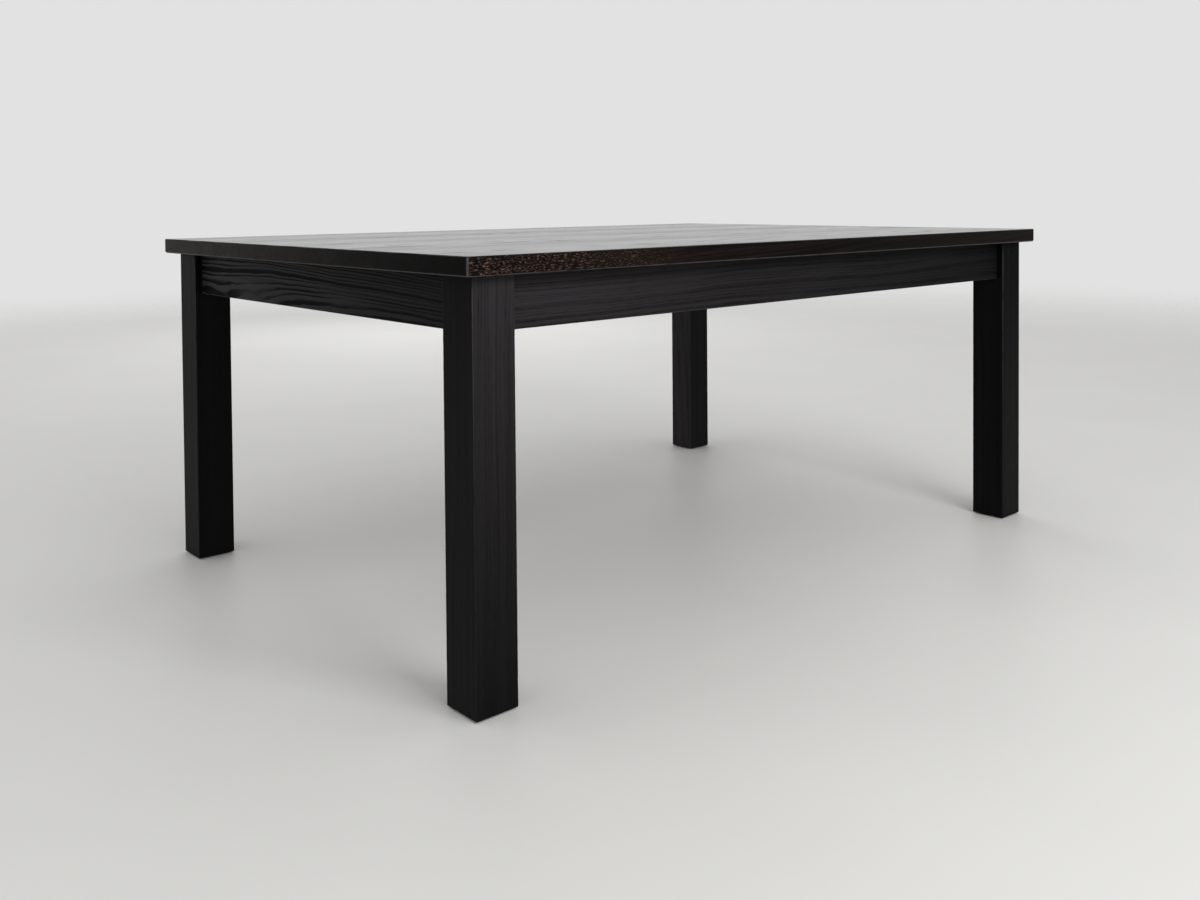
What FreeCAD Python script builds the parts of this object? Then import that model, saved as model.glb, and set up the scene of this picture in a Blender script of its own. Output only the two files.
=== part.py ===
import FreeCAD, Part
import math
import os

# Dining table in black-stained oak: an edge-glued top on four bolt-on square legs and four aprons.
# Millimetres. X runs along the table, Y across it and Z up. The origin is on the floor, under the middle.
# Every corner is drawn once, at the back right, and mirrored to the other three.

# Overall size
table_length = 1800.0
table_width = 1250.0
table_height = 750.0

# Top, of boards glued edge to edge along the table
top_thickness = 33.0
top_overhang = 27.0
top_corner_radius = 5.0
top_upper_round = 2.0
top_lower_bevel = 3.0
board_count = 9

# Loose tongues in stopped grooves, one along each seam of the top
tongue_thickness = 6.0
tongue_width = 16.0
tongue_end_distance = 80.0

# Legs, with a flat across the hidden inner corner for the hanger bolts
leg_side = 85.0
leg_arris_radius = 2.0
leg_foot_bevel = 1.5
leg_flat_width = 24.0

# Felt pads under the legs
pad_side = 60.0
pad_thickness = 2.5

# Aprons
apron_height = 94.0
apron_thickness = 24.0
apron_setback = 17.0
apron_arris_radius = 1.5

# Saw kerf along the inner face of each apron, for the top clips
kerf_below_top = 9.0
kerf_width = 3.2
kerf_depth = 10.0

# Corner blocks, set across the corner behind each leg and tongued into both aprons
block_thickness = 28.0
block_below_top = 12.0
block_above_apron_edge = 12.0
block_leg_gap = 8.0
block_tongue_inset = 4.0
block_tongue_width = 10.0
block_tongue_depth = 6.0

# Hanger bolts, one through the middle of each corner block, with their washers and nuts
bolt_diameter = 10.0
bolt_depth_in_leg = 50.0
bolt_past_nut = 5.0
washer_side = 30.0
washer_thickness = 2.5
nut_across_flats = 17.0
nut_thickness = 8.0

# Bearers across the frame under the top, dovetailed into the long aprons. Each screw goes up into the
# middle of the board that lies nearest to its distance in from the apron.
bearer_offset = 300.0
bearer_width = 90.0
bearer_thickness = 24.0
dovetail_neck = 54.0
dovetail_flare = 6.0
dovetail_depth = 12.0
bearer_slot_travel = 8.0
bearer_screw_distance = 140.0

# Top clips, bent from steel strip
clip_width = 20.0
clip_sheet = 2.0
clip_reach_in_kerf = 8.0
clip_riser_distance = 5.0
clip_flange_length = 22.0

# Screws up into the top: pan-headed through the clips, hexagon-headed coach screws through the bearers
clip_screw_diameter = 4.0
clip_screw_grip = 16.0
clip_screw_head_diameter = 8.0
clip_screw_head = 2.6
bearer_screw_diameter = 6.0
bearer_screw_grip = 18.0
bearer_screw_across_flats = 10.0
bearer_screw_head = 4.0

# Clearances
joint_clearance = 0.1
bore_clearance = 0.2
hole_end_clearance = 1.0
free_hole_clearance = 0.5

# Two places closer than this are the same one
same_place = 1e-6

# Sizes worked out from the driving dimensions
half_length = table_length / 2
half_width = table_width / 2
under_top = table_height - top_thickness
board_width = table_width / board_count
board_middles = [(index + 0.5) * board_width - half_width for index in range(board_count)]
board_seams = [index * board_width - half_width for index in range(1, board_count)]
leg_outer_x = half_length - top_overhang
leg_outer_y = half_width - top_overhang
leg_inner_x = leg_outer_x - leg_side
leg_inner_y = leg_outer_y - leg_side
leg_middle_x = leg_outer_x - leg_side / 2
leg_middle_y = leg_outer_y - leg_side / 2
apron_inner_x = leg_outer_x - apron_setback - apron_thickness
apron_inner_y = leg_outer_y - apron_setback - apron_thickness
apron_low = under_top - apron_height
kerf_high = under_top - kerf_below_top

# Corner plan: p and q run inwards from the point where the planes of the two aprons' inner faces meet.
# A line across the corner at 45 degrees is named by its p at the apron's face, which is the sum of p and q.
diagonal = math.sqrt(2.0)
leg_in_corner = leg_side - apron_setback - apron_thickness
leg_flat_line = 2 * leg_in_corner - leg_flat_width / diagonal
block_near_line = leg_flat_line + block_leg_gap * diagonal
block_far_line = block_near_line + block_thickness * diagonal
block_low = apron_low + block_above_apron_edge
block_high = under_top - block_below_top
block_tongue_start = block_near_line + block_tongue_inset
block_tongue_end = block_tongue_start + block_tongue_width
bolt_height = (block_low + block_high) / 2

# The bolt's length along the corner's diagonal
leg_flat_reach = leg_flat_line / diagonal
block_far_reach = block_far_line / diagonal
bolt_start_reach = leg_flat_reach - bolt_depth_in_leg
nut_start_reach = block_far_reach + washer_thickness
bolt_end_reach = nut_start_reach + nut_thickness + bolt_past_nut

origin = FreeCAD.Vector(0, 0, 0)
lengthwise = FreeCAD.Vector(1, 0, 0)
upwards = FreeCAD.Vector(0, 0, 1)
corner_inwards = FreeCAD.Vector(-1, -1, 0)
corner_across = FreeCAD.Vector(1, -1, 0)
corner_sides = {
    "front_left": (-1, -1),
    "front_right": (1, -1),
    "back_left": (-1, 1),
    "back_right": (1, 1),
}


def box_between(low, high):
    """A box from its lowest corner to its highest."""
    size = FreeCAD.Vector(*high) - FreeCAD.Vector(*low)
    return Part.makeBox(size.x, size.y, size.z, FreeCAD.Vector(*low))


def rod(start, direction, length, diameter):
    """A round rod, or the tool for a round hole."""
    return Part.makeCylinder(diameter / 2, length, start, direction)


def upright_prism(outline, low, high):
    """A closed outline of (x, y) points, raised from one height to another."""
    points = [FreeCAD.Vector(x, y, low) for x, y in outline]
    face = Part.Face(Part.makePolygon(points + points[:1]))
    return face.extrude(upwards * (high - low))


def cut_all(shape, tools):
    """The one solid that is left when every tool is cut from the shape."""
    return shape.cut(tools).Solids[0] if tools else shape


def corner_copy(shape, side_x, side_y):
    """A piece drawn at the back right corner, mirrored to the corner on the given sides."""
    if side_x < 0:
        shape = shape.mirror(origin, FreeCAD.Vector(1, 0, 0))
    if side_y < 0:
        shape = shape.mirror(origin, FreeCAD.Vector(0, 1, 0))
    return shape


def corner_copies(shape):
    """A piece drawn at the back right corner, at all four corners."""
    return [corner_copy(shape, *sides) for sides in corner_sides.values()]


def corner_point(p, q, height):
    """The point of the back right corner's plan at p and q."""
    return FreeCAD.Vector(apron_inner_x - p, apron_inner_y - q, height)


def edges_along(edges, direction):
    """The straight edges that run along a direction."""
    chosen = []
    for edge in edges:
        span = edge.Vertexes[-1].Point - edge.Vertexes[0].Point
        if abs(abs(span.dot(direction)) - edge.Length) < same_place:
            chosen.append(edge)
    return chosen


def edges_at_height(edges, height):
    """The edges that lie wholly at one height."""
    chosen = []
    for edge in edges:
        box = edge.BoundBox
        if abs(box.ZMin - height) < same_place and abs(box.ZMax - height) < same_place:
            chosen.append(edge)
    return chosen


def hexagon(across_flats, low, high):
    """A hexagonal prism about Z, for a nut or a screw's head."""
    corner_radius = across_flats / math.sqrt(3.0)
    angles = [math.radians(60 * index) for index in range(6)]
    outline = [(corner_radius * math.cos(angle), corner_radius * math.sin(angle)) for angle in angles]
    return upright_prism(outline, low, high)


def screw(head, diameter, length):
    """A screw along Z, from a head whose seat is at the origin."""
    return head.fuse(rod(origin, upwards, length, diameter)).removeSplitter()


def pilot_hole(point, direction, diameter, grip):
    """The tool for the blind hole that a screw's last part grips in."""
    return rod(point, direction, grip + hole_end_clearance, diameter + 2 * bore_clearance)


# Where the screws go

def board_middle_near(place):
    """The middle of the board that lies nearest to a place across the table."""
    return min(board_middles, key=lambda middle: abs(middle - place))


def clip_places():
    """Each top clip: the point under the top at the apron's inner face, and the way in from that face."""
    block_edge = apron_inner_x - block_far_line
    between = (bearer_offset + bearer_width / 2 + block_edge) / 2
    places = []
    for side_x, side_y in corner_sides.values():
        on_long = FreeCAD.Vector(side_x * between, side_y * apron_inner_y, under_top)
        places.append((on_long, FreeCAD.Vector(0, -side_y, 0)))
    for side_x in (-1, 1):
        on_end = FreeCAD.Vector(side_x * apron_inner_x, board_middle_near(0), under_top)
        places.append((on_end, FreeCAD.Vector(-side_x, 0, 0)))
    return places


def clip_screw_places():
    """The point under the top where each clip's screw goes in."""
    inwards = clip_riser_distance + clip_sheet + clip_flange_length / 2
    return [point + direction * inwards for point, direction in clip_places()]


def bearer_screw_places():
    """The point under the top where each bearer screw goes in, on the middle of a board."""
    board_middle = board_middle_near(apron_inner_y - bearer_screw_distance)
    return [
        FreeCAD.Vector(side_x * bearer_offset, side_y * board_middle, under_top)
        for side_x, side_y in corner_sides.values()
    ]


# The top

def whole_top():
    """The top as one slab, with rounded corners, a rounded upper arris and a bevelled lower one."""
    slab = box_between(
        (-half_length, -half_width, under_top),
        (half_length, half_width, table_height),
    )
    slab = slab.makeFillet(top_corner_radius, edges_along(slab.Edges, upwards))
    slab = slab.makeFillet(top_upper_round, edges_at_height(slab.Edges, table_height))
    return slab.makeChamfer(top_lower_bevel, edges_at_height(slab.Edges, under_top))


def seam_tongue(seam, clearance, depth_clearance):
    """The loose tongue along one seam, or with clearances the groove that holds it."""
    reach_x = half_length - tongue_end_distance + depth_clearance
    reach_y = tongue_width / 2 + depth_clearance
    reach_z = tongue_thickness / 2 + clearance
    middle = (under_top + table_height) / 2
    return box_between(
        (-reach_x, seam - reach_y, middle - reach_z),
        (reach_x, seam + reach_y, middle + reach_z),
    )


def top_boards():
    """The boards of the top, front to back, grooved for the tongues and drilled for the screws below."""
    slab = whole_top()
    grooves = [seam_tongue(seam, joint_clearance, hole_end_clearance) for seam in board_seams]
    holes = []
    for point in clip_screw_places():
        holes.append(pilot_hole(point, upwards, clip_screw_diameter, clip_screw_grip))
    for point in bearer_screw_places():
        holes.append(pilot_hole(point, upwards, bearer_screw_diameter, bearer_screw_grip))
    boards = []
    for middle in board_middles:
        strip = box_between(
            (-half_length, middle - board_width / 2, under_top),
            (half_length, middle + board_width / 2, table_height),
        )
        board = slab.common(strip)
        tools = [tool for tool in grooves + holes if tool.BoundBox.intersect(board.BoundBox)]
        boards.append(cut_all(board, tools))
    return boards


# Legs and pads

def leg():
    """The back right leg, with the flat on its inner corner and the hanger bolt's hole."""
    blank = box_between(
        (leg_inner_x, leg_inner_y, pad_thickness),
        (leg_outer_x, leg_outer_y, under_top),
    )
    blank = blank.makeFillet(leg_arris_radius, edges_along(blank.Edges, upwards))
    corner = corner_point(leg_in_corner, leg_in_corner, 0)
    flat_reach = leg_flat_width / diagonal
    flat_cut = upright_prism(
        [(corner.x, corner.y), (corner.x + flat_reach, corner.y), (corner.x, corner.y + flat_reach)],
        apron_low,
        under_top,
    )
    mouth = corner_point(leg_flat_line / 2, leg_flat_line / 2, bolt_height)
    bolt_hole = pilot_hole(mouth, FreeCAD.Vector(1, 1, 0), bolt_diameter, bolt_depth_in_leg)
    return cut_all(blank, [flat_cut, bolt_hole] + foot_bevels())


def foot_bevels():
    """The wedges that are planed off the four lower arrises of the back right leg."""
    bevel = leg_foot_bevel
    middle = FreeCAD.Vector(leg_middle_x, leg_middle_y, pad_thickness)
    half = leg_side / 2
    corners = [
        FreeCAD.Vector(half, -half, 0),
        FreeCAD.Vector(half - bevel, -half, 0),
        FreeCAD.Vector(half, -half, bevel),
    ]
    wedge = Part.Face(Part.makePolygon(corners + corners[:1])).extrude(FreeCAD.Vector(0, leg_side, 0))
    return [wedge.rotated(origin, upwards, 90 * turn).translated(middle) for turn in range(4)]


def foot_pad():
    """The felt pad under the back right leg."""
    half = pad_side / 2
    return box_between(
        (leg_middle_x - half, leg_middle_y - half, 0),
        (leg_middle_x + half, leg_middle_y + half, pad_thickness),
    )


# Aprons

def apron_blank(length):
    """An apron along X with its inner face on Y = 0, its lower arrises rounded and the clips' kerf cut."""
    blank = box_between(
        (-length / 2, 0, apron_low),
        (length / 2, apron_thickness, under_top),
    )
    lower_edges = edges_at_height(blank.Edges, apron_low)
    blank = blank.makeFillet(apron_arris_radius, edges_along(lower_edges, lengthwise))
    kerf = box_between(
        (-length / 2, 0, kerf_high - kerf_width),
        (length / 2, kerf_depth, kerf_high),
    )
    return cut_all(blank, [kerf])


def apron(length, corner_distance):
    """An apron with grooves for the corner blocks' tongues. Its corner plan starts at corner_distance."""
    grooves = []
    for side in (-1, 1):
        groove_start = corner_distance - block_tongue_start + joint_clearance
        groove_end = corner_distance - block_tongue_end - joint_clearance
        low_x, high_x = sorted((side * groove_start, side * groove_end))
        grooves.append(
            box_between(
                (low_x, 0, apron_low),
                (high_x, block_tongue_depth + joint_clearance, under_top),
            )
        )
    return cut_all(apron_blank(length), grooves)


def dovetail_outline(shoulder, clearance):
    """Plan of a bearer's dovetail, which widens away from its shoulder on the apron's inner face."""
    neck = dovetail_neck / 2 + clearance
    tail = neck + dovetail_flare
    end = shoulder + dovetail_depth + clearance
    return [(-neck, shoulder), (neck, shoulder), (tail, end), (-tail, end)]


def long_apron():
    """The back apron, with the sockets of the bearers' dovetails open at its upper edge."""
    shape = apron(2 * leg_inner_x, apron_inner_x)
    bearer_low = under_top - bearer_thickness
    sockets = []
    for side in (-1, 1):
        outline = [(x + side * bearer_offset, y) for x, y in dovetail_outline(0, joint_clearance)]
        sockets.append(upright_prism(outline, bearer_low, under_top))
    shape = cut_all(shape, sockets)
    return shape.translated(FreeCAD.Vector(0, apron_inner_y, 0))


def end_apron():
    """The right apron."""
    shape = apron(2 * leg_inner_y, apron_inner_y)
    shape = shape.rotated(origin, upwards, -90)
    return shape.translated(FreeCAD.Vector(apron_inner_x, 0, 0))


# Corner blocks and hanger bolts

def corner_block():
    """The back right corner block: a bar across the corner, mitred to both aprons and tongued into them."""
    far, near = block_far_line, block_near_line
    start, end = block_tongue_start, block_tongue_end
    depth = block_tongue_depth
    one_end = [(far, 0), (end, 0), (end, -depth), (start, -depth), (start, 0), (near, 0)]
    other_end = [(q, p) for p, q in reversed(one_end)]
    outline = [(apron_inner_x - p, apron_inner_y - q) for p, q in one_end + other_end]
    bar = upright_prism(outline, block_low, block_high)
    mouth = corner_point(near / 2, near / 2, bolt_height)
    bolt_hole = rod(mouth, corner_inwards, block_thickness, bolt_diameter + 2 * free_hole_clearance)
    return cut_all(bar, [bolt_hole])


def on_diagonal(shape, reach):
    """A shape drawn along Z, set on the hanger bolt's axis of the back right corner, pointing inwards."""
    step = reach / diagonal
    turn = FreeCAD.Rotation(corner_across, upwards, corner_inwards, "ZXY")
    placed = shape.copy()
    placed.Placement = FreeCAD.Placement(corner_point(step, step, bolt_height), turn)
    return placed


def hanger_bolt():
    """The hanger bolt of the back right leg."""
    length = bolt_end_reach - bolt_start_reach
    return on_diagonal(rod(origin, upwards, length, bolt_diameter), bolt_start_reach)


def bolt_washer():
    """The square washer between the back right corner block and its nut."""
    half = washer_side / 2
    plate = box_between((-half, -half, 0), (half, half, washer_thickness))
    hole = rod(origin, upwards, washer_thickness, bolt_diameter + 2 * free_hole_clearance)
    return on_diagonal(cut_all(plate, [hole]), block_far_reach)


def bolt_nut():
    """The hexagon nut on the back right hanger bolt."""
    blank = hexagon(nut_across_flats, 0, nut_thickness)
    hole = rod(origin, upwards, nut_thickness, bolt_diameter + 2 * bore_clearance)
    return on_diagonal(cut_all(blank, [hole]), nut_start_reach)


# Bearers

def bearer():
    """The right bearer: a flat rail under the top, dovetailed at both ends and slotted for its screws."""
    half = bearer_width / 2
    shoulder = apron_inner_y
    tail = dovetail_outline(shoulder, 0)
    back_end = [(half, shoulder), tail[1], tail[2], tail[3], tail[0], (-half, shoulder)]
    front_end = [(-x, -y) for x, y in back_end]
    outline = [(x + bearer_offset, y) for x, y in back_end + front_end]
    bearer_low = under_top - bearer_thickness
    rail = upright_prism(outline, bearer_low, under_top)
    slot_width = bearer_screw_diameter + 2 * free_hole_clearance
    travel = bearer_slot_travel / 2
    slots = []
    for point in [place for place in bearer_screw_places() if place.x > 0]:
        ends = [FreeCAD.Vector(point.x, point.y + side * travel, bearer_low) for side in (-1, 1)]
        rounds = [rod(end, upwards, bearer_thickness, slot_width) for end in ends]
        middle = box_between(
            (point.x - slot_width / 2, point.y - travel, bearer_low),
            (point.x + slot_width / 2, point.y + travel, under_top),
        )
        slots.append(middle.fuse(rounds).removeSplitter())
    return cut_all(rail, slots)


def bearer_screws():
    """The screws that hold the top down on the bearers, seated under the slots."""
    head = hexagon(bearer_screw_across_flats, -bearer_screw_head, 0)
    shape = screw(head, bearer_screw_diameter, bearer_thickness + bearer_screw_grip)
    below = upwards * bearer_thickness
    return [shape.translated(point - below) for point in bearer_screw_places()]


# Top clips

def top_clip():
    """A bent clip along X: the lower flange, at -X, sits in the kerf and the upper one under the top."""
    sheet = clip_sheet
    lower = kerf_high - under_top - sheet
    riser = clip_riser_distance
    end = riser + sheet + clip_flange_length
    outline = [
        (-clip_reach_in_kerf, lower),
        (riser + sheet, lower),
        (riser + sheet, -sheet),
        (end, -sheet),
        (end, 0),
        (riser, 0),
        (riser, lower + sheet),
        (-clip_reach_in_kerf, lower + sheet),
    ]
    points = [FreeCAD.Vector(x, -clip_width / 2, z) for x, z in outline]
    face = Part.Face(Part.makePolygon(points + points[:1]))
    strip = face.extrude(FreeCAD.Vector(0, clip_width, 0))
    middle = FreeCAD.Vector(riser + sheet + clip_flange_length / 2, 0, -sheet)
    hole = rod(middle, upwards, sheet, clip_screw_diameter + 2 * free_hole_clearance)
    return cut_all(strip, [hole])


def top_clips():
    """Every top clip, turned so that its lower flange points into its apron."""
    clip = top_clip()
    clips = []
    for point, inwards in clip_places():
        turn = math.degrees(math.atan2(inwards.y, inwards.x))
        clips.append(clip.rotated(origin, upwards, turn).translated(point))
    return clips


def clip_screws():
    """The screws that hold the clips to the underside of the top."""
    head = rod(upwards * -clip_screw_head, upwards, clip_screw_head, clip_screw_head_diameter)
    shape = screw(head, clip_screw_diameter, clip_sheet + clip_screw_grip)
    below = upwards * clip_sheet
    return [shape.translated(point - below) for point in clip_screw_places()]


def write_node(name, solids):
    """Write one node, of one solid or of a group of separate solids."""
    shape = solids[0] if len(solids) == 1 else Part.makeCompound(solids)
    shape.exportStep("parts/" + name + ".step")


def main():
    """Build every piece and write one file per node."""
    os.makedirs("parts", exist_ok=True)

    for number, board in enumerate(top_boards(), start=1):
        write_node("top_board_" + str(number), [board])
    write_node("top_loose_tongues", [seam_tongue(seam, 0, 0) for seam in board_seams])

    corner_pieces = {"leg": leg(), "foot_pad": foot_pad(), "corner_block": corner_block()}
    for corner, sides in corner_sides.items():
        for piece, shape in corner_pieces.items():
            write_node(piece + "_" + corner, [corner_copy(shape, *sides)])

    back_apron = long_apron()
    right_apron = end_apron()
    right_bearer = bearer()
    write_node("apron_back", [back_apron])
    write_node("apron_front", [corner_copy(back_apron, 1, -1)])
    write_node("apron_right", [right_apron])
    write_node("apron_left", [corner_copy(right_apron, -1, 1)])
    write_node("bearer_right", [right_bearer])
    write_node("bearer_left", [corner_copy(right_bearer, -1, 1)])

    write_node("hanger_bolts", corner_copies(hanger_bolt()))
    write_node("bolt_washers", corner_copies(bolt_washer()))
    write_node("bolt_nuts", corner_copies(bolt_nut()))
    write_node("bearer_screws", bearer_screws())
    write_node("top_clips", top_clips())
    write_node("clip_screws", clip_screws())


main()
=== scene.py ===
"""Looks of the dining table: black-stained oak boards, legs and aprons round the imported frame.

Metres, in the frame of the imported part: X along the table, Y across it, Z up from the floor.
"""

import logging
import math
from dataclasses import dataclass, replace
from enum import Enum
from typing import Any

import bpy
import numpy as np
from mathutils import Matrix, Vector


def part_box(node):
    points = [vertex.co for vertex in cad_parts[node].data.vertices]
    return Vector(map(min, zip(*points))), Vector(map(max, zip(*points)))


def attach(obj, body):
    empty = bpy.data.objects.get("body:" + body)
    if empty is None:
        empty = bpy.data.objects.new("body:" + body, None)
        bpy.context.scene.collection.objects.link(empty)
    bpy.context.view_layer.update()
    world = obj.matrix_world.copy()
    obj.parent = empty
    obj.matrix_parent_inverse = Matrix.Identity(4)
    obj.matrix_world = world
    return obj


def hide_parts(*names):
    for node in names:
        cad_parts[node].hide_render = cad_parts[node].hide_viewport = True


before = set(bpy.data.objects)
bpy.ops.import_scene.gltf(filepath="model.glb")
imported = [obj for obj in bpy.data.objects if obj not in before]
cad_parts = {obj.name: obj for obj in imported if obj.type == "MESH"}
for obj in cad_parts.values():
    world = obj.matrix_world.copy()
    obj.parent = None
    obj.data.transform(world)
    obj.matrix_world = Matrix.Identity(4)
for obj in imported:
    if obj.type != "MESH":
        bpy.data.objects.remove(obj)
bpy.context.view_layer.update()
BODY = "root"
WEAR_AND_HIGHLIGHT = "edge_wear_and_highlight"
ARC_STEPS = 6
CORNERS = ("front_left", "front_right", "back_left", "back_right")

Socket = bpy.types.NodeSocket
Pair = tuple[float, float]
Triple = tuple[float, float, float]

log = logging.getLogger("table")


class GrainAxis(Enum):
    """The axis that a piece's grain runs along, by its number among X, Y and Z."""

    ALONG_X = 0
    ALONG_Y = 1
    ALONG_Z = 2


class NodeSheet:
    """The shader nodes of one material, added and joined by short calls.

    Attributes:
        material: The material.
        tree: Its node tree.
        coordinates: The socket of a point's Object coordinates.
        place: The socket of the place that patterns are read at: the same, until a log's cut moves it.
        NUMBER_RESULTS: The vector operations whose result is a number.
    """

    NUMBER_RESULTS = ("LENGTH", "DISTANCE", "DOT_PRODUCT")

    def __init__(self, name: str) -> None:
        """Start an empty sheet.

        Args:
            name: The material's name.
        """
        self.material = bpy.data.materials.new(name)
        self.material.use_nodes = True
        self.tree = self.material.node_tree
        self.tree.nodes.clear()
        self.coordinates = self.add("ShaderNodeTexCoord").outputs["Object"]
        self.place = self.coordinates

    def add(self, kind: str, *sources: Any, **settings: Any) -> bpy.types.Node:
        """Add a node, with its properties set and its inputs fed.

        Args:
            kind: The node's type in Blender.
            sources: What its first inputs are fed with, in order.
            settings: Its properties, and what feeds other inputs, whose names start with a capital and have
                _ for each space.

        Returns:
            The new node.
        """
        node = self.tree.nodes.new(kind)
        for name, value in settings.items():
            if name[0].isupper():
                self.feed(node.inputs[name.replace("_", " ")], value)
            else:
                setattr(node, name, value)
        for socket, source in zip(node.inputs, sources):
            self.feed(socket, source)
        return node

    def feed(self, socket: Socket, source: Any) -> None:
        """Join a socket to another node's output, or set it to a value.

        Args:
            socket: The input to feed.
            source: An output socket, or a plain value.
        """
        if isinstance(source, Socket):
            self.tree.links.new(source, socket)
        else:
            socket.default_value = source

    def math(self, operation: str, *values: Any, clamp: bool = False) -> Socket:
        """Work out a number from others.

        Args:
            operation: The Math node's operation.
            values: Its inputs, each a socket or a number.
            clamp: Whether the result is kept from 0 to 1.

        Returns:
            The result's socket.
        """
        node = self.add("ShaderNodeMath", *values, operation=operation, use_clamp=clamp)
        return node.outputs[0]

    def vector(self, operation: str, *values: Any) -> Socket:
        """Work out a vector, or a number such as a length, from vectors.

        Args:
            operation: The Vector Math node's operation.
            values: Its inputs, each a socket or three numbers.

        Returns:
            The result's socket.
        """
        node = self.add("ShaderNodeVectorMath", *values, operation=operation)
        return node.outputs["Value" if operation in self.NUMBER_RESULTS else "Vector"]

    def noise(self, cells: Triple, detail: float = 2.0, output: str = "Fac") -> Socket:
        """Add a noise that has its own scale along each axis.

        Args:
            cells: Its cells per metre along each axis.
            detail: How many finer layers it has.
            output: The node's output that is wanted.

        Returns:
            That output's socket.
        """
        place = self.vector("MULTIPLY", self.place, cells)
        node = self.add("ShaderNodeTexNoise", Vector=place, Scale=1.0, Detail=detail)
        return node.outputs[output]

    def step(self, value: Any, start: float, end: float) -> Socket:
        """A smooth step from 0 at start to 1 at end.

        Args:
            value: The socket that is read.
            start: Where the step starts.
            end: Where it ends.

        Returns:
            The step's socket.
        """
        node = self.add("ShaderNodeMapRange", value, start, end, interpolation_type="SMOOTHSTEP")
        return node.outputs["Result"]

    def blend(self, factor: Any, start: float, end: float) -> Socket:
        """A number that goes from start to end as the factor goes from 0 to 1.

        Args:
            factor: The socket that is read.
            start: The number at 0.
            end: The number at 1.

        Returns:
            The number's socket.
        """
        node = self.add("ShaderNodeMapRange", factor, To_Min=start, To_Max=end)
        return node.outputs["Result"]

    def ramp(self, factor: Any, stops: list[tuple[float, Triple]]) -> Socket:
        """A colour that changes with a number.

        Args:
            factor: The socket that is read.
            stops: Two or more places from 0 to 1, each with its colour.

        Returns:
            The colour's socket.
        """
        node = self.add("ShaderNodeValToRGB", factor)
        for index, (place, colour) in enumerate(stops):
            elements = node.color_ramp.elements
            element = elements[index] if index < 2 else elements.new(place)
            element.position = place
            element.color = (*colour, 1.0)
        return node.outputs["Color"]

    def mix(self, factor: Any, first: Any, second: Any) -> Socket:
        """A colour between two others.

        Args:
            factor: How far it is from the first to the second.
            first: A colour's socket.
            second: A colour's socket.

        Returns:
            The mixed colour's socket.
        """
        node = self.add("ShaderNodeMix", data_type="RGBA")
        self.feed(node.inputs[0], factor)
        self.feed(node.inputs[6], first)
        self.feed(node.inputs[7], second)
        return node.outputs[2]

    def bump(self, height: Any, depth: float, strength: float, under: Any = None) -> Socket:
        """A normal that is tilted by a relief.

        Args:
            height: The relief's socket, from 0 to 1.
            depth: The relief's depth in metres.
            strength: How much of it shows.
            under: The normal that it lies on, if that isn't the surface's own.

        Returns:
            The normal's socket.
        """
        node = self.add("ShaderNodeBump", Strength=strength, Distance=depth, Height=height)
        if under is not None:
            self.feed(node.inputs["Normal"], under)
        return node.outputs["Normal"]

    def surface(self, **inputs: Any) -> bpy.types.Material:
        """Finish the sheet with a Principled shader.

        Args:
            inputs: What feeds the shader's inputs, by their names as add takes them.

        Returns:
            The finished material.
        """
        shader = self.add("ShaderNodeBsdfPrincipled", **inputs)
        self.add("ShaderNodeOutputMaterial", Surface=shader.outputs["BSDF"])
        return self.material


@dataclass(frozen=True)
class LogCut:
    """How one piece was sawn from its log, which sets the figure on its faces.

    The log's own axes are the pith and two across it, in the order X, Y, Z from the grain's axis on.

    Attributes:
        grain: The axis that the grain runs along.
        pith: Where the pith lies from the piece's middle, along the two axes across it.
        lean: How far the pith leans along each of them for a metre of length, which draws arches.
        along: How far up the log the piece's middle was.
        tone: How light the piece is: its stain's tone, and on the legs also painted light and shade.
        figure: How boldly its rings show, where 1 is as on the top.
        dulled: How much rougher than its fellows the piece is.
        tone_and_painted_light_rise: What its tone is multiplied by for each metre up the log. On the front
        and left aprons and the front left leg, it paints light that falls off along the piece.
        figure_rise: What its figure is multiplied by for each metre up the log.
    """

    grain: GrainAxis
    pith: Pair
    lean: Pair = (0.0, 0.0)
    along: float = 0.0
    tone: float = 1.0
    figure: float = 1.0
    dulled: float = 0.0
    tone_and_painted_light_rise: float = 1.0
    figure_rise: float = 1.0

    def lay(self, sheet: NodeSheet, middle: Vector) -> None:
        """Let a sheet read its patterns in the log: metres along the pith, and along both axes across it.

        Args:
            sheet: The material's sheet.
            middle: The piece's middle.
        """
        order = [(self.grain.value + step) % 3 for step in range(3)]
        unit = Matrix.Identity(3)
        turn = Matrix([unit[axis] for axis in order])
        first_lean = Matrix.Rotation(-math.atan(self.lean[0]), 3, "Z")
        second_lean = Matrix.Rotation(math.atan(self.lean[1]), 3, "Y")
        turn = second_lean @ first_lean @ turn
        origin = Vector((self.along, -self.pith[0], -self.pith[1])) - turn @ middle
        mapping = sheet.add("ShaderNodeMapping", sheet.coordinates, origin, turn.to_euler("XYZ"))
        sheet.place = mapping.outputs["Vector"]

    def rise(self, sheet: NodeSheet, per_metre: float) -> Socket:
        """Add the nodes of a factor that is 1 at the piece's middle and grows up the log.

        Args:
            sheet: The material's sheet.
            per_metre: What the factor is multiplied by for each metre.

        Returns:
            The factor's socket.
        """
        parts = sheet.add("ShaderNodeSeparateXYZ", sheet.place)
        return sheet.math("POWER", per_metre, sheet.math("SUBTRACT", parts.outputs["X"], self.along))


@dataclass(frozen=True)
class Flecks:
    """Flecks in the grain: a stretched noise that shows only where it is strong.

    Attributes:
        cells: Its cells per metre along each of the log's axes.
        limits: The noise's level where it starts to show, and where it shows in full.
        detail: How many finer layers it has.
    """

    cells: Triple
    limits: Pair
    detail: float = 2.0

    def mask(self, sheet: NodeSheet) -> Socket:
        """The socket of the flecks' mask, from 0 to 1, with its nodes added to a sheet."""
        return sheet.step(sheet.noise(self.cells, self.detail), *self.limits)


# The open edge's brightest specks are painted glints, and its fade along the edge is partly painted light.
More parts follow.
